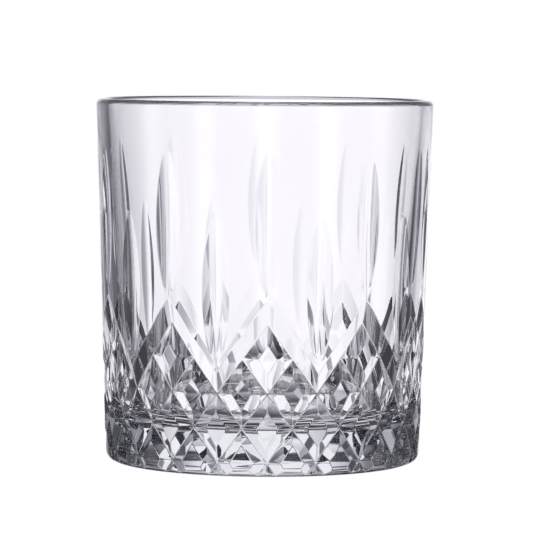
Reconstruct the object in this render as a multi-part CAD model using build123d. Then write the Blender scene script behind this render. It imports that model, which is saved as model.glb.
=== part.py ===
from build123d import *
import os
from math import cos, radians, sin, sqrt, tan

# Whiskey tumbler, one piece of clear pressed and cut glass, in millimetres.
# +Z is up along the axis of the glass, and the origin is the middle of the foot, on the table.
# The cut pattern repeats ten times round the glass, and one repeat faces -Y.

# Driving dimensions of the blank
HEIGHT = 88.0
RIM_RADIUS = 41.0
HEEL_CONE_RADIUS = 38.2         # outer cone carried down to the table plane
HEEL_ROUND = 2.6
FOOT_OUTER_RADIUS = 35.6
FOOT_INNER_RADIUS = 30.0
UNDERSIDE_HOLLOW = 0.8
RIM_WALL = 2.6
MID_WALL = 4.2                  # wall thickness at mid height
LOW_WALL = 4.8                  # wall thickness just above the floor
FLOOR_LEVEL = 10.5
FLOOR_ROUND = 6.0

# Driving dimensions of the cuts
REPEATS = 10
COLUMNS = 4 * REPEATS           # a groove line crosses one column for each row it goes down
LAST_ROW = 5                    # row of the diamonds that the foot cuts off
ROW_PITCH = 8.15
TOP_ROW_LEVEL = 36.0            # peaks of the zigzag groove
GROOVE_DEPTH = 1.25             # of the peaks of the zigzag groove
GROOVE_FADE = 0.09              # how much shallower each row of crossings is than the one above
PYRAMID_HEIGHT = 2.0            # of each diamond over its groove lines, before the blank trims its top
FLARE = 0.26                    # radius gained per millimetre of height on the wide facets
FLARE_RISE = 12.0
TALL_CUT = {"top": 76.5, "bottom": 42.5, "depth": 0.64}
SHORT_CUT = {"top": 61.0, "bottom": 27.0, "depth": 0.67}
WHEEL_FACE_SLOPE = radians(11.5)    # between each side of the V cut and the wall
WHEEL_NOSE_RADIUS = 8.0             # the round at the bottom of the V
WHEEL_HALF_WIDTH = 6.0
CLEAR = 10.0                    # how far the cutting bodies reach past the blank

OUTER_SLOPE = (RIM_RADIUS - HEEL_CONE_RADIUS) / HEIGHT
DEGREES_PER_COLUMN = 360.0 / COLUMNS
FRONT_ANGLE = -90.0             # direction of column 0


def outer_radius(level):
    """Radius of the uncut outer wall at a height."""
    return HEEL_CONE_RADIUS + OUTER_SLOPE * level


def glass_blank():
    """The uncut tumbler: tapered wall, rounded rim and heel, hollow with a rounded floor."""
    wall_round = RIM_WALL / 2
    rim_level = HEIGHT - wall_round
    mid_level = (HEIGHT + FLOOR_LEVEL) / 2
    low_level = FLOOR_LEVEL + FLOOR_ROUND
    low_radius = outer_radius(low_level) - LOW_WALL
    outer_rim = (outer_radius(rim_level), rim_level)
    inner_rim = (outer_radius(rim_level) - RIM_WALL, rim_level)
    rim_top = ((outer_rim[0] + inner_rim[0]) / 2, HEIGHT)
    inner_mid = (outer_radius(mid_level) - MID_WALL, mid_level)
    inner_low = (low_radius, low_level)
    floor_edge = (low_radius - FLOOR_ROUND, FLOOR_LEVEL)
    floor_mid = (low_radius - FLOOR_ROUND * (1 - sqrt(0.5)), low_level - FLOOR_ROUND * sqrt(0.5))
    heel_top = (outer_radius(HEEL_ROUND), HEEL_ROUND)
    heel_reach = heel_top[0] - FOOT_OUTER_RADIUS
    heel_mid = (FOOT_OUTER_RADIUS + heel_reach * sqrt(0.5), HEEL_ROUND * (1 - sqrt(0.5)))
    hollow_mid = (FOOT_INNER_RADIUS / 2, 0.75 * UNDERSIDE_HOLLOW)
    outline = [
        ThreePointArc((0, UNDERSIDE_HOLLOW), hollow_mid, (FOOT_INNER_RADIUS, 0)),
        Line((FOOT_INNER_RADIUS, 0), (FOOT_OUTER_RADIUS, 0)),
        ThreePointArc((FOOT_OUTER_RADIUS, 0), heel_mid, heel_top),
        Line(heel_top, outer_rim),
        ThreePointArc(outer_rim, rim_top, inner_rim),
        ThreePointArc(inner_rim, inner_mid, inner_low),
        ThreePointArc(inner_low, floor_mid, floor_edge),
        Line(floor_edge, (0, FLOOR_LEVEL)),
        Line((0, FLOOR_LEVEL), (0, UNDERSIDE_HOLLOW)),
    ]
    section = Plane.XZ * make_face(Wire(outline))
    # The seams of the revolved faces stay between two groove crossings.
    seam_angle = FRONT_ANGLE + 0.7 * DEGREES_PER_COLUMN
    return Rot(Z=seam_angle) * revolve(section, axis=Axis.Z)


def at(column, radius, level):
    """A point on a lattice column."""
    angle = radians(FRONT_ANGLE + column * DEGREES_PER_COLUMN)
    return (radius * cos(angle), radius * sin(angle), level)


def row_level(row):
    """Height of a row of groove crossings. Row 0 is the top one."""
    return TOP_ROW_LEVEL - row * ROW_PITCH


def groove_radius(row):
    """Radius at the bottom of the grooves, where they cross in a row."""
    return outer_radius(row_level(row)) - GROOVE_DEPTH + row * GROOVE_FADE


def groove(column, row):
    """A crossing of two groove lines."""
    return at(column, groove_radius(row), row_level(row))


def diamond_top(column, row):
    """The point of a diamond's pyramid, which stands proud of the blank."""
    return at(column, groove_radius(row) + PYRAMID_HEIGHT, row_level(row))


def flare_point(column):
    """The outer end of the wide facets above the zigzag groove."""
    row = zigzag_row(column)
    return at(column, groove_radius(row) + FLARE * FLARE_RISE, row_level(row) + FLARE_RISE)


def zigzag_row(column):
    """The row where the topmost groove crosses a column: 0 at a peak, 2 at a valley."""
    return abs((column + 2) % 4 - 2)


def triangle(*corners):
    return Face(Wire.make_polygon(corners, close=True))


def diamond(column, row):
    """The four facets of a diamond, between its top and its groove lines."""
    top = diamond_top(column, row)
    above, below = groove(column, row - 1), groove(column, row + 1)
    corners = [above, groove(column + 1, row), below, groove(column - 1, row)]
    return [triangle(top, corners[i], corners[(i + 1) % 4]) for i in range(4)]


def cut_envelope():
    """A closed faceted body: what the diamond cuts leave of the blank lies inside it."""
    above = HEIGHT + CLEAR
    wide = RIM_RADIUS + CLEAR
    lid = (0, 0, above)
    bottom = (0, 0, -2 * CLEAR)
    faces = []
    for column in range(0, COLUMNS, 4):
        faces += diamond(column, 1)
    for row in range(2, LAST_ROW):
        for column in range(row + 1, COLUMNS + row + 1, 2):
            faces += diamond(column, row)
    for column in range(0, COLUMNS, 2):
        top = diamond_top(column, LAST_ROW)
        faces.append(triangle(top, groove(column, LAST_ROW - 1), groove(column + 1, LAST_ROW)))
        faces.append(triangle(top, groove(column - 1, LAST_ROW), groove(column, LAST_ROW - 1)))
        faces.append(triangle(top, groove(column + 1, LAST_ROW), bottom))
        faces.append(triangle(top, bottom, groove(column - 1, LAST_ROW)))
    for column in range(COLUMNS):
        low = groove(column, zigzag_row(column))
        next_low = groove(column + 1, zigzag_row(column + 1))
        high = flare_point(column)
        next_high = flare_point(column + 1)
        brim = at(column, wide, above)
        next_brim = at(column + 1, wide, above)
        faces += [triangle(low, next_low, high), triangle(high, next_low, next_high)]
        faces += [triangle(high, next_high, brim), triangle(brim, next_high, next_brim)]
        faces.append(triangle(brim, next_brim, lid))
    return Solid(Shell(faces))


def lancet_cut(column, top, bottom, depth):
    """The glass that a wheel with a rounded V edge takes out of the wall, pointed at both ends."""
    length = top - bottom
    middle = (top + bottom) / 2
    wheel_radius = length ** 2 / (8 * depth)
    nose_half_width = WHEEL_NOSE_RADIUS * sin(WHEEL_FACE_SLOPE)
    nose_edge = wheel_radius - WHEEL_NOSE_RADIUS * (1 - cos(WHEEL_FACE_SLOPE))
    side_edge = nose_edge - (WHEEL_HALF_WIDTH - nose_half_width) * tan(WHEEL_FACE_SLOPE)
    nose = ThreePointArc((nose_edge, -nose_half_width), (wheel_radius, 0), (nose_edge, nose_half_width))
    body = Polyline(
        (nose_edge, nose_half_width), (side_edge, WHEEL_HALF_WIDTH), (0, WHEEL_HALF_WIDTH),
        (0, -WHEEL_HALF_WIDTH), (side_edge, -WHEEL_HALF_WIDTH), (nose_edge, -nose_half_width))
    wheel = revolve(Plane.XZ * make_face([nose, body]), axis=Axis.Z)
    # The hub stands off the wall along the wall's normal, and the wheel's axis is level.
    stand_off = (wheel_radius - depth) / sqrt(1 + OUTER_SLOPE ** 2)
    hub = Pos(outer_radius(middle) + stand_off, 0, middle - stand_off * OUTER_SLOPE)
    near_wall = Pos(outer_radius(middle), 0, middle) * Box(CLEAR, 2 * WHEEL_HALF_WIDTH, length + CLEAR)
    angle = FRONT_ANGLE + column * DEGREES_PER_COLUMN
    return Rot(Z=angle) * ((hub * Rot(X=90) * wheel) & near_wall)


def tumbler():
    """The whole glass: the blank, cut with the diamonds and then with the lancets."""
    glass = glass_blank() & cut_envelope()
    lancets = []
    for column in range(0, COLUMNS, 4):
        lancets.append(lancet_cut(column, **TALL_CUT))
        lancets.append(lancet_cut(column + 2, **SHORT_CUT))
    return glass - lancets


os.makedirs("parts", exist_ok=True)
shape = tumbler()
shape.label = "tumbler"
export_step(shape, "parts/tumbler.step")
print("volume cm3", round(shape.volume / 1000, 1), "solids", len(shape.solids()), "faces", len(shape.faces()))
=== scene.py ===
import math

import bpy
import numpy as np
from mathutils import Matrix, Vector
from mathutils.geometry import delaunay_2d_cdt


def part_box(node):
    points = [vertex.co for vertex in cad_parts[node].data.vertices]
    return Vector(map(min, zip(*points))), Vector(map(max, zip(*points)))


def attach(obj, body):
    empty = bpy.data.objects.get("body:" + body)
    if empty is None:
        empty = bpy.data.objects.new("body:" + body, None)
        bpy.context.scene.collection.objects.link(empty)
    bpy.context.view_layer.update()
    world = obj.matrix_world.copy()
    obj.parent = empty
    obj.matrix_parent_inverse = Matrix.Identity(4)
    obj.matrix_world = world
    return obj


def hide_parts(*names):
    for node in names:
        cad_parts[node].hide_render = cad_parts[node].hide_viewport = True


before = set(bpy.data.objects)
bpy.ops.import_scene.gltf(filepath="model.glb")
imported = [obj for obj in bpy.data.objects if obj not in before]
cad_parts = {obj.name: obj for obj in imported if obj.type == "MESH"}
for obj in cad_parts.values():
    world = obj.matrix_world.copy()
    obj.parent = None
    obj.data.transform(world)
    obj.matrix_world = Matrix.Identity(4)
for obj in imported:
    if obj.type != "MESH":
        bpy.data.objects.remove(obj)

# A clear cut-glass tumbler. Lengths are in metres, in the CAD model's frame. Angles are in radians,
# except the directions of the studio's light, which are in degrees.
# Each of the ten repeats of the cut pattern is two mirrored halves, so the outer surface is made once
# over half a repeat, as a radius at each angle and height, and copied twenty times.

MM = 0.001
NODE = "tumbler"
node_low, node_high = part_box(NODE)
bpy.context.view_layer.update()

# The blank, as in the CAD model
HEIGHT = round(node_high.z, 5)
RIM_RADIUS = 41.0 * MM
HEEL_CONE_RADIUS = 38.2 * MM
HEEL_ROUND = 2.6 * MM
FOOT_OUTER_RADIUS = 35.6 * MM
FOOT_INNER_RADIUS = 30.0 * MM
UNDERSIDE_HOLLOW = 0.8 * MM
RIM_WALL = 2.6 * MM
MID_WALL = 4.2 * MM
LOW_WALL = 4.8 * MM
FLOOR_LEVEL = 10.5 * MM
FLOOR_ROUND = 6.0 * MM

# The cuts, as in the CAD model
REPEATS = 10
COLUMN = math.tau / (4 * REPEATS)       # angle between two columns of groove crossings
HALF_REPEAT = 2 * COLUMN
ROW_PITCH = 8.15 * MM
TOP_ROW_LEVEL = 36.0 * MM
GROOVE_DEPTH = 1.25 * MM                # of the peaks of the zigzag groove
GROOVE_FADE = 0.09 * MM                 # how much shallower each row of crossings is than the one above
PYRAMID_HEIGHT = 2.0 * MM
FLARE = 0.26
FLARE_RISE = 12.0 * MM
TALL_CUT = {"angle": 0.0, "top": 76.5 * MM, "bottom": 42.5 * MM, "depth": 0.64 * MM}
SHORT_CUT = {"angle": HALF_REPEAT, "top": 61.0 * MM, "bottom": 27.0 * MM, "depth": 0.67 * MM}
WHEEL_FACE_SLOPE = math.radians(11.5)
WHEEL_NOSE_RADIUS = 8.0 * MM

# Polished edges: two surfaces run into each other where their radii differ by less than this
TABLE_ROUND = 0.07 * MM
GROOVE_ROUND = 0.15 * MM
LANCET_ROUND = 0.06 * MM

OUTER_SLOPE = (RIM_RADIUS - HEEL_CONE_RADIUS) / HEIGHT
RIM_LEVEL = HEIGHT - RIM_WALL / 2
HEEL_START = HEEL_ROUND * (1 - math.pi / 2)     # profile coordinate of the foot's outer edge
NOSE_HALF_WIDTH = WHEEL_NOSE_RADIUS * math.sin(WHEEL_FACE_SLOPE)

# The triangles: finer on the facets than on the wall, and finest on the round of the heel
RING_STEPS = 12                         # steps of a ring over one half repeat
FACET_STEPS = 14
HEEL_STEPS = 36
WALL_RISE = 2.0 * MM                    # between rows of points
FACET_RISE = 1.0 * MM
FACET_TOP = 46.0 * MM                   # everything but the lens cuts is below this
LIP_LOWEST = 22.0 * MM                  # the wide facets meet the wall between these heights
LIP_HIGHEST = 55.0 * MM
CUT_LOWEST = 0.1 * MM                   # below this the lines of the cuts are left out
MERGE_MM = 0.02                         # points nearer than this become one
ON_BORDER = 1e-6                        # a point nearer than this to a border is on it


# ---------------------------------------------------------------- outer surface as a radius

def outer_radius(level):
    return HEEL_CONE_RADIUS + OUTER_SLOPE * level


def profile_level(v):
    """Height at a profile coordinate, which is the height itself above the heel's round."""
    turn = np.clip((HEEL_ROUND - v) / HEEL_ROUND, 0, math.pi / 2)
    return np.where(v >= HEEL_ROUND, v, HEEL_ROUND * (1 - np.sin(turn)))


def profile_radius(v):
    """Radius of the uncut wall and heel at a profile coordinate."""
    turn = np.clip((HEEL_ROUND - v) / HEEL_ROUND, 0, math.pi / 2)
    reach = outer_radius(HEEL_ROUND) - FOOT_OUTER_RADIUS
    return np.where(v >= HEEL_ROUND, outer_radius(v), FOOT_OUTER_RADIUS + reach * np.cos(turn))


def profile_coordinate(level):
    """The profile coordinate at a height."""
    inside = np.clip(1 - np.asarray(level) / HEEL_ROUND, 0, 1)
    return np.where(level >= HEEL_ROUND, level, HEEL_ROUND * (1 - np.arcsin(inside)))


def soft_min(a, b, blend):
    """The smaller of two radii, rounded off where they differ by less than the blend."""
    overlap = np.maximum(blend - np.abs(a - b), 0)
    return np.minimum(a, b) - overlap ** 2 / (4 * blend)


def soft_max(a, b, blend):
    return -soft_min(-a, -b, blend)


def point_at(column, radius, level):
    return Vector((radius * math.cos(column * COLUMN), radius * math.sin(column * COLUMN), level))


def row_level(row):
    return TOP_ROW_LEVEL - row * ROW_PITCH


def groove_radius(row):
    return outer_radius(row_level(row)) - GROOVE_DEPTH + row * GROOVE_FADE


def groove_point(column, row):
    return point_at(column, groove_radius(row), row_level(row))


def pyramid_top(column, row):
    return point_at(column, groove_radius(row) + PYRAMID_HEIGHT, row_level(row))


def flare_top(column, row):
    return point_at(column, groove_radius(row) + FLARE * FLARE_RISE, row_level(row) + FLARE_RISE)


def plane_radius(plane, u, z):
    """Radius of a plane at an angle and a height."""
    normal, offset = plane
    return (offset - normal.z * z) / (normal.x * np.cos(u) + normal.y * np.sin(u))


def plane_through(a, b, c):
    normal = (b - a).cross(c - a).normalized()
    return normal, normal.dot(a)


def diamond_corners(column, row):
    return [groove_point(column, row - 1), groove_point(column + 1, row),
            groove_point(column, row + 1), groove_point(column - 1, row)]


def diamond_planes(column, row):
    top = pyramid_top(column, row)
    corners = diamond_corners(column, row)
    return [plane_through(top, corners[i], corners[(i + 1) % 4]) for i in range(4)]


# Every diamond that touches the half repeat, so that grooves on its border are rounded from both sides
DIAMONDS = [(0, 1)] + [(c, r) for r in range(2, 6) for c in range(-1, 4) if (c + r) % 2 == 1]
DIAMOND_PLANES = [diamond_planes(column, row) for column, row in DIAMONDS]
FLARE_PLANES = [
    plane_through(groove_point(c, c), groove_point(c + 1, c + 1),
                  (flare_top(c, c) + flare_top(c + 1, c + 1)) / 2)
    for c in (0, 1)]


def flare_radius(u, z):
    """The wide facets above the zigzag groove, with those of the neighbouring half repeats."""
    def line(angle):
        return soft_min(*(plane_radius(p, angle, z) for p in FLARE_PLANES), GROOVE_ROUND)
    peak = soft_max(line(u), line(-u), GROOVE_ROUND)
    return soft_min(peak, line(2 * HALF_REPEAT - u), GROOVE_ROUND)


def diamond_radius(planes, u, z):
    radius = plane_radius(planes[0], u, z)
    for plane in planes[1:]:
        radius = soft_min(radius, plane_radius(plane, u, z), GROOVE_ROUND)
    return radius


def facet_radius(u, z):
    """All that the diamond cuts leave, before the blank trims it."""
    radius = flare_radius(u, z)
    for planes in DIAMOND_PLANES:
        radius = soft_max(radius, diamond_radius(planes, u, z), GROOVE_ROUND)
    return radius


def wheel_drop(side):
    """How far the wheel's edge has fallen away, at a distance to the side of its middle."""
    on_nose = np.minimum(side, NOSE_HALF_WIDTH)
    nose = WHEEL_NOSE_RADIUS - np.sqrt(WHEEL_NOSE_RADIUS ** 2 - on_nose ** 2)
    return nose + (side - on_nose) * math.tan(WHEEL_FACE_SLOPE)


def lancet_radius(cut, u, z):
    """The surface that a wheel with a rounded V edge leaves in the wall."""
    length = cut["top"] - cut["bottom"]
    middle = (cut["top"] + cut["bottom"]) / 2
    wheel = length ** 2 / (8 * cut["depth"])
    stand_off = (wheel - cut["depth"]) / math.hypot(1, OUTER_SLOPE)
    hub_out = outer_radius(middle) + stand_off
    hub_up = middle - stand_off * OUTER_SLOPE
    turn = u - cut["angle"]
    # How far a point is to the side depends on its radius, so the radius is found by repeating.
    radius = outer_radius(z)
    for _ in range(4):
        edge = wheel - wheel_drop(np.abs(radius * np.sin(turn)))
        reach = np.sqrt(np.maximum(edge ** 2 - (z - hub_up) ** 2, 0))
        radius = (hub_out - reach) / np.cos(turn)
    return radius


def uncut_radius(u, v):
    """The blank and the diamonds, without the lens cuts."""
    return soft_min(profile_radius(v), facet_radius(u, profile_level(v)), TABLE_ROUND)


def surface_radius(u, v):
    radius = uncut_radius(u, v)
    for cut in (TALL_CUT, SHORT_CUT):
        radius = soft_min(radius, lancet_radius(cut, u, profile_level(v)), LANCET_ROUND)
    return radius


def surface_points(u, v):
    radius = surface_radius(u, v)
    return np.stack([radius * np.cos(u), radius * np.sin(u), profile_level(v)], axis=-1)


def surface_normals(u, v):
    """Unit normals, from the difference between points a small step apart."""
    step_u, step_v = 2e-4, 5e-6
    along_u = surface_points(u + step_u, v) - surface_points(u - step_u, v)
    v_low = np.maximum(v - step_v, HEEL_START)
    along_v = surface_points(u, v_low + 2 * step_v) - surface_points(u, v_low)
    normal = np.cross(along_u, along_v)
    return normal / np.linalg.norm(normal, axis=-1, keepdims=True)


# ---------------------------------------------------------------- lines that the triangles follow

def crossing(low, high, height):
    """Where height changes sign between low and high, by bisection of whole arrays at once."""
    low, high = np.array(low, float), np.array(high, float)
    sign = np.sign(height(low))
    for _ in range(30):
        middle = (low + high) / 2
        same = np.sign(height(middle)) == sign
        low, high = np.where(same, middle, low), np.where(same, high, middle)
    return (low + high) / 2


def diamond_lines(column, row):
    """Groove lines, table edge and ridges of one diamond, with lines beside every rounded edge."""
    steps = 12                          # along each groove line
    spread = np.linspace(0, 1, steps, endpoint=False)
    corners = [np.array(p) for p in diamond_corners(column, row)]
    outline = np.concatenate([
        corners[i] + spread[:, None] * (corners[(i + 1) % 4] - corners[i]) for i in range(4)])
    rim_u = np.arctan2(outline[:, 1], outline[:, 0])
    rim_z = outline[:, 2]
    centre_u = column * COLUMN
    centre_z = row_level(row)
    planes = diamond_planes(column, row)

    def proud(part):
        u = centre_u + part * (rim_u - centre_u)
        z = centre_z + part * (rim_z - centre_z)
        return diamond_radius(planes, u, z) - outer_radius(z)

    table = crossing(np.zeros_like(rim_u), np.ones_like(rim_u), proud)
    half_width = COLUMN * outer_radius(centre_z)
    inner_reach = half_width * ROW_PITCH / math.hypot(half_width, ROW_PITCH)
    slope = PYRAMID_HEIGHT / inner_reach
    groove_side = GROOVE_ROUND / (2 * slope) / inner_reach
    table_side = TABLE_ROUND / slope / inner_reach
    rings = [np.full_like(rim_u, 1 - groove_side * k) for k in (0, 0.5, 1)]
    rings += [table + table_side * k for k in (-1, 0, 1)]
    lines = []
    for part in rings:
        u = centre_u + part * (rim_u - centre_u)
        z = centre_z + part * (rim_z - centre_z)
        lines.append(np.stack([np.append(u, u[0]), np.append(z, z[0])], axis=-1))
    for i in range(4):
        corner = i * steps
        path = np.linspace(table[corner] + table_side, 1.0, 7)
        du, dz = rim_u[corner] - centre_u, rim_z[corner] - centre_z
        across = np.array([-dz / half_width * COLUMN, du / COLUMN * half_width])
        across /= math.hypot(across[0] / COLUMN * half_width, across[1])
        for k in (-1, -0.5, 0, 0.5, 1):
            shift = across * k * GROOVE_ROUND / (2 * slope)
            u = centre_u + path * du + shift[0]
            z = centre_z + path * dz + shift[1]
            lines.append(np.stack([u, z], axis=-1))
    return lines


def lip_lines():
    """Where the wide facets meet the wall, the upper side of the zigzag groove, and their corners."""
    u = np.linspace(0, HALF_REPEAT, 2 * RING_STEPS + 1)
    low, high = np.full_like(u, LIP_LOWEST), np.full_like(u, LIP_HIGHEST)
    lines = []
    for level in (-TABLE_ROUND, 0, TABLE_ROUND):
        def proud(z):
            return flare_radius(u, z) - outer_radius(z) - level
        lines.append(np.stack([u, crossing(low, high, proud)], axis=-1))
    ends = [np.array(groove_point(c, c)) for c in (0, 1, 2)]
    spread = np.linspace(0, 1, RING_STEPS, endpoint=False)
    zigzag = np.concatenate([
        [ends[c] * (1 - t) + ends[c + 1] * t for t in spread] for c in (0, 1)] + [[ends[2]]])
    zigzag_u = np.arctan2(zigzag[:, 1], zigzag[:, 0])
    for rise in (0, 0.2 * MM, 0.4 * MM):
        lines.append(np.stack([zigzag_u, zigzag[:, 2] + rise], axis=-1))
    # Lines beside the upright corners where the wide facets meet over each peak and each valley
    over_peak = np.linspace(36 * MM, 46 * MM, 10)
    over_valley = np.linspace(20 * MM, 28 * MM, 10)
    for beside in (0.15 * MM, 0.3 * MM):
        turn = beside / RIM_RADIUS
        lines.append(np.stack([np.full_like(over_peak, turn), over_peak], axis=-1))
        lines.append(np.stack([np.full_like(over_valley, HALF_REPEAT - turn), over_valley], axis=-1))
    return lines


def lancet_lines(cut):
    """The outline of a lens-shaped cut, and lines beside its bottom."""
    middle, half = (cut["top"] + cut["bottom"]) / 2, (cut["top"] - cut["bottom"]) / 2
    z = middle + half * np.sin(np.linspace(-math.pi / 2, math.pi / 2, 41))[1:-1]
    towards = 1 if cut["angle"] == 0 else -1
    lines = []
    for level in (-LANCET_ROUND, 0, LANCET_ROUND):
        def inside(turn):
            u = cut["angle"] + towards * turn
            return lancet_radius(cut, u, z) - uncut_radius(u, z) - level
        deep = inside(np.zeros_like(z)) < 0
        turn = crossing(np.zeros_like(z), np.full_like(z, HALF_REPEAT / 2), inside)
        for run in np.split(np.arange(len(z)), np.flatnonzero(np.diff(deep.astype(int))) + 1):
            if deep[run[0]] and len(run) > 1:
                lines.append(np.stack([cut["angle"] + towards * turn[run], z[run]], axis=-1))
    for part in (1 / 3, 2 / 3, 1):
        offset = cut["angle"] + towards * part * NOSE_HALF_WIDTH / RIM_RADIUS
        path = z[::2]
        lines.append(np.stack([np.full_like(path, offset), path], axis=-1))
    return lines


def clip_to_half_repeat(line):
    """Splits a line into the runs that lie inside the half repeat and above the table."""
    runs = []
    margin = 1e-9
    u, z = line[:, 0], line[:, 1]
    inside = (u > -margin) & (u < HALF_REPEAT + margin) & (z > CUT_LOWEST) & (z < RIM_LEVEL)
    run = []
    for i in range(len(line)):
        if inside[i]:
            if not run and i > 0 and z[i - 1] > CUT_LOWEST:
                run.append(border_point(line[i - 1], line[i]))
            run.append(line[i])
        elif run:
            if z[i] > CUT_LOWEST:
                run.append(border_point(line[i], run[-1]))
            runs.append(run)
            run = []
    if run:
        runs.append(run)
    return [np.array(r) for r in runs if len(r) > 1]


def border_point(outside, inside):
    """Where the way from one point to another crosses the border of the half repeat."""
    edge = 0.0 if outside[0] < inside[0] else HALF_REPEAT
    part = (edge - inside[0]) / (outside[0] - inside[0])
    return np.array([edge, inside[1] + part * (outside[1] - inside[1])])


def fill_points():
    """Points over the wall and the facets between the lines."""
    points = []
    wall_columns = np.linspace(0, HALF_REPEAT, RING_STEPS + 1)
    for v in np.arange(FACET_TOP, RIM_LEVEL - 0.5 * MM, WALL_RISE):
        points += [(u, v) for u in wall_columns]
    facet_columns = np.linspace(0, HALF_REPEAT, FACET_STEPS + 1)
    for v in np.arange(4.0 * MM, FACET_TOP, FACET_RISE):
        points += [(u, v) for u in facet_columns]
    heel_columns = np.linspace(0, HALF_REPEAT, HEEL_STEPS + 1)
    for v in np.linspace(HEEL_START, 3.4 * MM, 14)[1:]:
        points += [(u, v) for u in heel_columns]
    return points


def half_repeat_mesh():
    """Points (u, v) and triangles of the half repeat."""
    lines = lip_lines() + lancet_lines(TALL_CUT) + lancet_lines(SHORT_CUT)
    for column, row in DIAMONDS:
        lines += diamond_lines(column, row)
    points, edges = [], []
    for line in lines:
        for run in clip_to_half_repeat(line):
            first = len(points)
            points += [(u, float(profile_coordinate(z))) for u, z in run]
            edges += [(i, i + 1) for i in range(first, len(points) - 1)]
    ring = np.linspace(0, HALF_REPEAT, RING_STEPS + 1)
    for v in (HEEL_START, RIM_LEVEL):
        first = len(points)
        points += [(u, v) for u in ring]
        edges += [(i, i + 1) for i in range(first, len(points) - 1)]
    points += fill_points()
    # The triangles are made on the unrolled wall, in millimetres.
    scale = outer_radius(HEIGHT / 2) / MM
    flat = [Vector((u * scale, v / MM)) for u, v in points]
    verts, _, faces, *_ = delaunay_2d_cdt(flat, edges, [], 0, MERGE_MM)
    u = np.array([p.x for p in verts]) / scale
    v = np.array([p.y for p in verts]) * MM
    for edge, values in ((0, u), (HALF_REPEAT, u), (HEEL_START, v), (RIM_LEVEL, v)):
        values[np.abs(values - edge) < ON_BORDER] = edge
    # Triangles flat against a border would close nothing.
    faces = [f for f in faces if not any(
        all(values[k] == edge for k in f) for edge, values in ((0, u), (HALF_REPEAT, u)))]
    return u, v, faces


# ---------------------------------------------------------------- the whole glass

HALF_REPEATS = 2 * REPEATS
FRONT_ANGLE = -math.pi / 2              # one repeat faces -Y
RING_COUNT = HALF_REPEATS * RING_STEPS


class Mesh:
    """Points, faces and normals. A normal of zero is left for Blender to work out."""

    def __init__(self):
        self.points, self.normals, self.faces = [], [], []

    def add(self, points, normals=None):
        first = len(self.points)
        self.points += [tuple(p) for p in points]
        self.normals += [tuple(n) for n in normals] if normals is not None else [(0, 0, 0)] * len(points)
        return list(range(first, len(self.points)))

    def bridge(self, ring, following):
        """Faces from one ring to the next."""
        for i, point in enumerate(ring):
            j = (i + 1) % len(ring)
            self.faces.append((point, ring[j], following[j], following[i]))

    def fan(self, ring, centre):
        """Faces from a ring to a point."""
        for i, point in enumerate(ring):
            self.faces.append((point, ring[(i + 1) % len(ring)], centre))


def turned(points, copy):
    """Points of the half repeat at their place in one of the twenty copies."""
    angle = FRONT_ANGLE + (copy // 2) * 2 * HALF_REPEAT
    if copy % 2:
        points = points * np.array([1, -1, 1])
        angle += 2 * HALF_REPEAT
    c, s = math.cos(angle), math.sin(angle)
    return points @ np.array([[c, s, 0], [-s, c, 0], [0, 0, 1]])


def add_outer_surface(mesh):
    """Copies the half repeat round the glass and returns its bottom and top rings."""
    u, v, faces = half_repeat_mesh()
    points, normals = surface_points(u, v), surface_normals(u, v)
    border = {"even": np.flatnonzero(u == 0), "odd": np.flatnonzero(u == HALF_REPEAT)}
    for key in border:
        border[key] = border[key][np.argsort(v[border[key]])]
    inner = np.flatnonzero((u > 0) & (u < HALF_REPEAT))
    # Two neighbouring copies share the points on the border between them.
    shared = []
    for copy in range(HALF_REPEATS):
        own = border["odd" if copy % 2 else "even"]
        border_normals = normals[own].copy()
        angle = u[own]
        # On a mirror line the normal has no part across the line.
        across = np.stack([-np.sin(angle), np.cos(angle), 0 * angle], axis=-1)
        border_normals -= across * (border_normals * across).sum(axis=1, keepdims=True)
        border_normals /= np.linalg.norm(border_normals, axis=1, keepdims=True)
        shared.append(mesh.add(turned(points[own], copy), turned(border_normals, copy)))
    bottom_ring, top_ring = [], []
    for copy in range(HALF_REPEATS):
        index = np.zeros(len(u), int)
        following = (copy + 1) % HALF_REPEATS
        index[border["even"]] = shared[following if copy % 2 else copy]
        index[border["odd"]] = shared[copy if copy % 2 else following]
        index[inner] = mesh.add(turned(points[inner], copy), turned(normals[inner], copy))
        for face in faces:
            corners = [int(index[k]) for k in face]
            mesh.faces.append(tuple(corners[::-1] if copy % 2 else corners))
        for level, ring in ((HEEL_START, bottom_ring), (RIM_LEVEL, top_ring)):
            on_ring = np.flatnonzero(v == level)
            on_ring = on_ring[np.argsort(u[on_ring])]
            if copy % 2:
                on_ring = on_ring[::-1]
            ring += [int(index[k]) for k in on_ring[:-1]]
    return bottom_ring, top_ring


def arc(start, middle, end, count):
    """Points (radius, height) on the circle through three points, without the start."""
    a, b, c = (Vector(p) for p in (start, middle, end))
    ab, ac = b - a, c - a
    cross = 2 * (ab.x * ac.y - ab.y * ac.x)
    centre = a + Vector((ac.y * ab.length_squared - ab.y * ac.length_squared,
                         ab.x * ac.length_squared - ac.x * ab.length_squared)) / cross
    turn_mid = (b - centre).angle_signed(a - centre)
    turn = (c - centre).angle_signed(b - centre) + turn_mid
    spokes = [Matrix.Rotation(turn * k / count, 2) @ (a - centre) for k in range(1, count + 1)]
    return [tuple(centre + spoke) for spoke in spokes]


def ring_points(radius, level):
    angles = FRONT_ANGLE + math.tau * np.arange(RING_COUNT) / RING_COUNT
    return np.stack([
        radius * np.cos(angles), radius * np.sin(angles), np.full(RING_COUNT, level)], axis=-1)


def add_revolved(mesh, ring, profile, centre, facing_down=False):
    """Carries a surface of revolution on from a ring, to a point on the axis."""
    first = len(mesh.faces)
    for radius, level in profile:
        following = mesh.add(ring_points(radius, level))
        mesh.bridge(ring, following)
        ring = following
    mesh.fan(ring, mesh.add([centre])[0])
    if facing_down:
        mesh.faces[first:] = [face[::-1] for face in mesh.faces[first:]]


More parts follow.
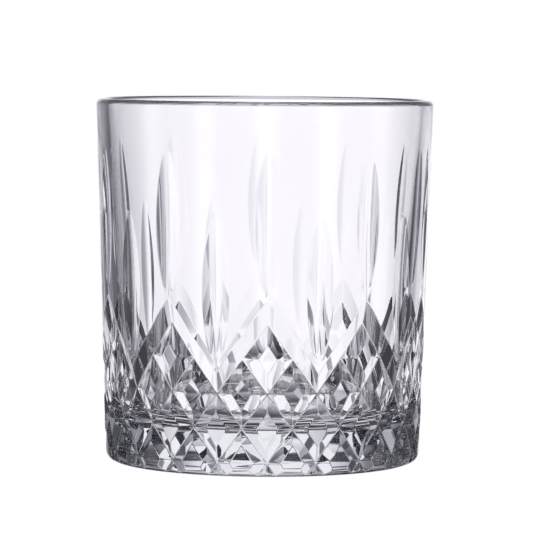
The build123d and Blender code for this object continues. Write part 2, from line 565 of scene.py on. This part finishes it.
def inside_profile():
    """From the outer wall over the rim, down the inside and to the middle of the floor."""
    outer = outer_radius(RIM_LEVEL)
    mid_level = (HEIGHT + FLOOR_LEVEL) / 2
    low_level = FLOOR_LEVEL + FLOOR_ROUND
    low_radius = outer_radius(low_level) - LOW_WALL
    rim_inside = (outer - RIM_WALL, RIM_LEVEL)
    low = (low_radius, low_level)
    diagonal = math.sqrt(0.5)
    floor_edge = (low_radius - FLOOR_ROUND, FLOOR_LEVEL)
    floor_mid = (floor_edge[0] + FLOOR_ROUND * diagonal, low_level - FLOOR_ROUND * diagonal)
    profile = arc((outer, RIM_LEVEL), (outer - RIM_WALL / 2, HEIGHT), rim_inside, 14)
    profile += arc(rim_inside, (outer_radius(mid_level) - MID_WALL, mid_level), low, 34)
    profile += arc(low, floor_mid, floor_edge, 12)
    profile += [(floor_edge[0] * part, FLOOR_LEVEL) for part in (0.8, 0.55, 0.3, 0.1)]
    return profile


def underside_profile():
    """From the foot's outer edge to the middle of the hollow under the base."""
    beside = 0.3 * MM                   # rings beside the foot's edges keep its flat ring flat
    hollow_mid = (FOOT_INNER_RADIUS / 2, 0.75 * UNDERSIDE_HOLLOW)
    profile = [(FOOT_OUTER_RADIUS - beside, 0), (FOOT_INNER_RADIUS + beside, 0), (FOOT_INNER_RADIUS, 0)]
    return profile + arc((FOOT_INNER_RADIUS, 0), hollow_mid, (0, UNDERSIDE_HOLLOW), 12)[:-1]


def glass_object():
    mesh = Mesh()
    bottom_ring, top_ring = add_outer_surface(mesh)
    add_revolved(mesh, top_ring, inside_profile(), (0, 0, FLOOR_LEVEL))
    add_revolved(mesh, bottom_ring, underside_profile(), (0, 0, UNDERSIDE_HOLLOW), facing_down=True)
    data = bpy.data.meshes.new("cut_glass")
    data.from_pydata(mesh.points, [], mesh.faces)
    data.polygons.foreach_set("use_smooth", [True] * len(data.polygons))
    data.normals_split_custom_set_from_vertices(mesh.normals)
    data.update()
    glass = bpy.data.objects.new("cut_glass", data)
    bpy.context.scene.collection.objects.link(glass)
    return glass


# ---------------------------------------------------------------- node helpers

def node(tree, kind, inputs=None, **settings):
    """Adds a node. Inputs are values, or sockets to link from, by name or index."""
    made = tree.nodes.new(kind)
    for key, value in settings.items():
        setattr(made, key, value)
    for key, value in (inputs or {}).items():
        if isinstance(value, bpy.types.NodeSocket):
            tree.links.new(value, made.inputs[key])
        else:
            made.inputs[key].default_value = value
    return made


def maths(tree, operation, *values):
    return node(tree, "ShaderNodeMath", dict(enumerate(values)), operation=operation).outputs[0]


def maths_range(tree, value, start, end):
    """Rises from 0 to 1 as an angle goes from start to end, in degrees."""
    return node(tree, "ShaderNodeMapRange", {
        "Value": value, "From Min": math.radians(start), "From Max": math.radians(end)}).outputs[0]


def ramp(tree, part, turn, stops):
    """Grey levels at directions in degrees. Part rises from 0 to 1 over the turn, which 0 halves."""
    made = node(tree, "ShaderNodeValToRGB", {"Fac": part})
    made.color_ramp.interpolation = "LINEAR"
    elements = made.color_ramp.elements
    while len(elements) < len(stops):
        elements.new(0.5)
    for element, (degrees, level) in zip(elements, stops):
        element.position = 0.5 + degrees / turn
        element.color = (level, level, level, 1)
    return made.outputs["Color"]


# ---------------------------------------------------------------- materials

def glass_material():
    """Clear glass with a faint cool cast, slight waves, a trace of haze and some grey in its depth."""
    material = bpy.data.materials.new("cut_clear_glass")
    material.use_nodes = True
    tree = material.node_tree
    tree.nodes.clear()
    place = node(tree, "ShaderNodeTexCoord").outputs["Object"]
    tint = node(tree, "ShaderNodeTexNoise", {"Vector": place, "Scale": 35.0, "Detail": 2.0})
    colour = node(tree, "ShaderNodeMixRGB", {
        "Fac": tint.outputs["Fac"],
        "Color1": (0.965, 0.962, 0.982, 1), "Color2": (0.988, 0.986, 0.995, 1)})
    haze = node(tree, "ShaderNodeTexNoise", {"Vector": place, "Scale": 220.0, "Detail": 4.0})
    roughness = node(tree, "ShaderNodeMapRange", {
        "Value": haze.outputs["Fac"], "From Min": 0.45, "From Max": 0.8, "To Min": 0.0, "To Max": 0.03})
    stretch = node(tree, "ShaderNodeMapping", {"Vector": place, "Scale": (1.0, 1.0, 0.25)})
    waves = node(tree, "ShaderNodeTexNoise", {"Vector": stretch.outputs[0], "Scale": 90.0, "Detail": 1.0})
    bump = node(tree, "ShaderNodeBump", {
        "Height": waves.outputs["Fac"], "Strength": 0.25, "Distance": 0.0002})
    shader = node(tree, "ShaderNodeBsdfPrincipled", {
        "Base Color": colour.outputs[0], "Roughness": roughness.outputs[0], "Normal": bump.outputs[0]})
    shader.inputs["Transmission Weight"].default_value = 1.0
    shader.inputs["IOR"].default_value = 1.52
    depth = node(tree, "ShaderNodeVolumeAbsorption", {"Color": (0.42, 0.45, 0.51, 1), "Density": 6.5})
    out = node(tree, "ShaderNodeOutputMaterial", {"Surface": shader.outputs[0], "Volume": depth.outputs[0]})
    out.is_active_output = True
    return material


def floor_material():
    """Plain white that gives off its own light, so no shadow or edge of the floor shows."""
    material = bpy.data.materials.new("pale_floor")
    material.use_nodes = True
    tree = material.node_tree
    tree.nodes.clear()
    shader = node(tree, "ShaderNodeEmission", {"Color": (1.0, 1.0, 1.0, 1), "Strength": 1.0})
    node(tree, "ShaderNodeOutputMaterial", {"Surface": shader.outputs[0]})
    return material


# ---------------------------------------------------------------- the set

FULL_TURN, HALF_TURN = 360, 180         # degrees of azimuth and of elevation


def light_behind(tree, round_part, rise_part, elevation):
    """The bright field behind the glass, with dark round it, and light again straight up and down."""
    low_sides = ramp(tree, round_part, FULL_TURN, [
        (-60, 0.05), (-45, 0.07), (-34, 0.13), (-26, 0.28), (-20, 0.37), (-16, 0.48),
        (-13, 0.66), (-10, 0.79), (-6, 0.90), (-3, 0.96), (1, 1.0), (22, 1.0),
        (28, 0.75), (39, 0.40), (50, 0.22), (60, 0.05)])
    high_sides = ramp(tree, round_part, FULL_TURN, [
        (-60, 0.05), (-40, 0.08), (-28, 0.25), (-20, 0.65), (-12, 0.97),
        (10, 1.0), (18, 0.85), (24, 0.40), (34, 0.15), (60, 0.05)])
    raised = maths_range(tree, elevation, -4, 1)
    sides = node(tree, "ShaderNodeMixRGB", {"Fac": raised, "Color1": low_sides, "Color2": high_sides})
    heights = ramp(tree, rise_part, HALF_TURN, [
        (-90, 1.0), (-72, 0.60), (-62, 0.08), (-42, 0.08), (-31, 0.13), (-24, 0.25),
        (-20, 0.38), (-16, 0.75), (-10, 1.0), (10, 1.0), (14, 0.75), (20, 0.40),
        (27, 0.15), (36, 0.06), (60, 0.07), (90, 0.5)])
    # Straight up and down there are no sides.
    steep = maths_range(tree, maths(tree, "ABSOLUTE", elevation), 35, 60)
    even = node(tree, "ShaderNodeMixRGB", {
        "Fac": steep, "Color1": sides.outputs[0], "Color2": (0.6, 0.6, 0.6, 1)})
    return node(tree, "ShaderNodeMixRGB", {
        "Fac": 1.0, "Color1": even.outputs[0], "Color2": heights}, blend_type="MULTIPLY").outputs[0]


def low_windows(tree, rise_part, azimuth, elevation, side):
    """Low windows every 45 degrees, so that the glass looks clear from its other sides too."""
    wave = maths(tree, "COSINE", maths(tree, "MULTIPLY", azimuth, 8.0))
    window = node(tree, "ShaderNodeMapRange", {
        "Value": wave, "From Min": 0.1, "From Max": 0.9, "To Min": 0.06, "To Max": 0.8})
    heights = ramp(tree, rise_part, HALF_TURN, [
        (-80, 0.9), (-27, 0.9), (-12, 1.0), (-8, 1.0), (-3, 0.15), (0, 0.0)])
    # None is within 24 degrees of straight behind the glass, and out to 55 degrees they are only low down.
    clear = maths(tree, "MAXIMUM", maths_range(tree, side, 55, 70), maths_range(tree, elevation, -9, -16))
    return maths(tree, "MULTIPLY", maths(tree, "MULTIPLY", window.outputs[0], heights),
                 maths(tree, "MULTIPLY", clear, maths_range(tree, side, 24, 32)))


def low_strip(tree, rise_part, side):
    """A narrow upright strip of light under the field behind the glass."""
    heights = ramp(tree, rise_part, HALF_TURN, [(-80, 0.7), (-56, 0.6), (-18, 0.55), (-12, 0.0)])
    return maths(tree, "MULTIPLY", heights, maths_range(tree, side, 10, 4))


def studio_world():
    """Soft light that the glass shows, and plain white that the camera sees.

    Azimuth is 0 straight behind the glass, in +Y, and rises to the right. Elevation is 0 at the horizon.
    """
    world = bpy.data.worlds.new("studio")
    bpy.context.scene.world = world
    world.use_nodes = True
    tree = world.node_tree
    tree.nodes.clear()
    direction = node(tree, "ShaderNodeTexCoord").outputs["Generated"]
    split = node(tree, "ShaderNodeSeparateXYZ", {0: direction})
    azimuth = maths(tree, "ARCTAN2", split.outputs["X"], split.outputs["Y"])
    round_part = maths(tree, "MULTIPLY_ADD", azimuth, 1 / math.tau, 0.5)
    elevation = maths(tree, "ARCSINE", split.outputs["Z"])
    rise_part = maths(tree, "MULTIPLY_ADD", elevation, 1 / math.pi, 0.5)
    side = maths(tree, "ABSOLUTE", azimuth)
    beyond = maths(tree, "MAXIMUM", low_windows(tree, rise_part, azimuth, elevation, side),
                   low_strip(tree, rise_part, side))
    light = node(tree, "ShaderNodeMixRGB", {
        "Fac": 1.0, "Color1": light_behind(tree, round_part, rise_part, elevation), "Color2": beyond},
        blend_type="LIGHTEN").outputs[0]
    # The darker the light, the cooler it is.
    tint = node(tree, "ShaderNodeMixRGB", {
        "Fac": light, "Color1": (0.92, 0.91, 1.06, 1), "Color2": (1.0, 0.985, 1.005, 1)})
    cast = node(tree, "ShaderNodeMixRGB", {
        "Fac": 1.0, "Color1": light, "Color2": tint.outputs[0]}, blend_type="MULTIPLY")
    seen = node(tree, "ShaderNodeLightPath").outputs["Is Camera Ray"]
    shown = node(tree, "ShaderNodeMixRGB", {
        "Fac": seen, "Color1": cast.outputs[0], "Color2": (1, 1, 1, 1)})
    # 1.22 on the glass, and 1 for the camera
    strength = maths(tree, "SUBTRACT", 1.22, maths(tree, "MULTIPLY", seen, 0.22))
    back = node(tree, "ShaderNodeBackground", {"Color": shown.outputs[0], "Strength": strength})
    node(tree, "ShaderNodeOutputWorld", {"Surface": back.outputs[0]})


def floor():
    """A white floor just under the foot. The glass neither mirrors it nor shows it."""
    half = 1.5
    corners = [(-half, -half, 0), (half, -half, 0), (half, half, 0), (-half, half, 0)]
    data = bpy.data.meshes.new("floor")
    data.from_pydata(corners, [], [(0, 1, 2, 3)])
    data.materials.append(floor_material())
    made = bpy.data.objects.new("floor", data)
    bpy.context.scene.collection.objects.link(made)
    made.location.z = -0.05 * MM
    made.visible_transmission = False
    made.visible_glossy = False


def camera():
    """A long lens a little above the rim, placed to match the outline of the glass in the photograph."""
    azimuth = math.radians(-1.6)
    distance = 0.876
    eye_level = 104 * MM
    eye = Vector((math.sin(azimuth) * distance, -math.cos(azimuth) * distance, eye_level))
    aim = Vector((1.65 * MM, 0, 46.2 * MM))
    roll = Matrix.Rotation(math.radians(0.45), 4, "Z")
    data = bpy.data.cameras.new("camera")
    data.lens = 239.8
    data.sensor_width = 36.0
    data.clip_start = 0.01
    data.clip_end = 10.0
    made = bpy.data.objects.new("camera", data)
    bpy.context.scene.collection.objects.link(made)
    look = (aim - eye).to_track_quat("-Z", "Y")
    made.matrix_world = Matrix.Translation(eye) @ look.to_matrix().to_4x4() @ roll
    bpy.context.scene.camera = made


glass = glass_object()
glass.data.materials.append(glass_material())
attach(glass, "root")
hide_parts(NODE)
floor()
studio_world()
camera()

# Light crosses many surfaces of the cut glass before it leaves.
scene = bpy.context.scene
scene.view_settings.view_transform = "Standard"
scene.cycles.max_bounces = 40
scene.cycles.transmission_bounces = 40
scene.cycles.glossy_bounces = 40
scene.cycles.use_denoising = True
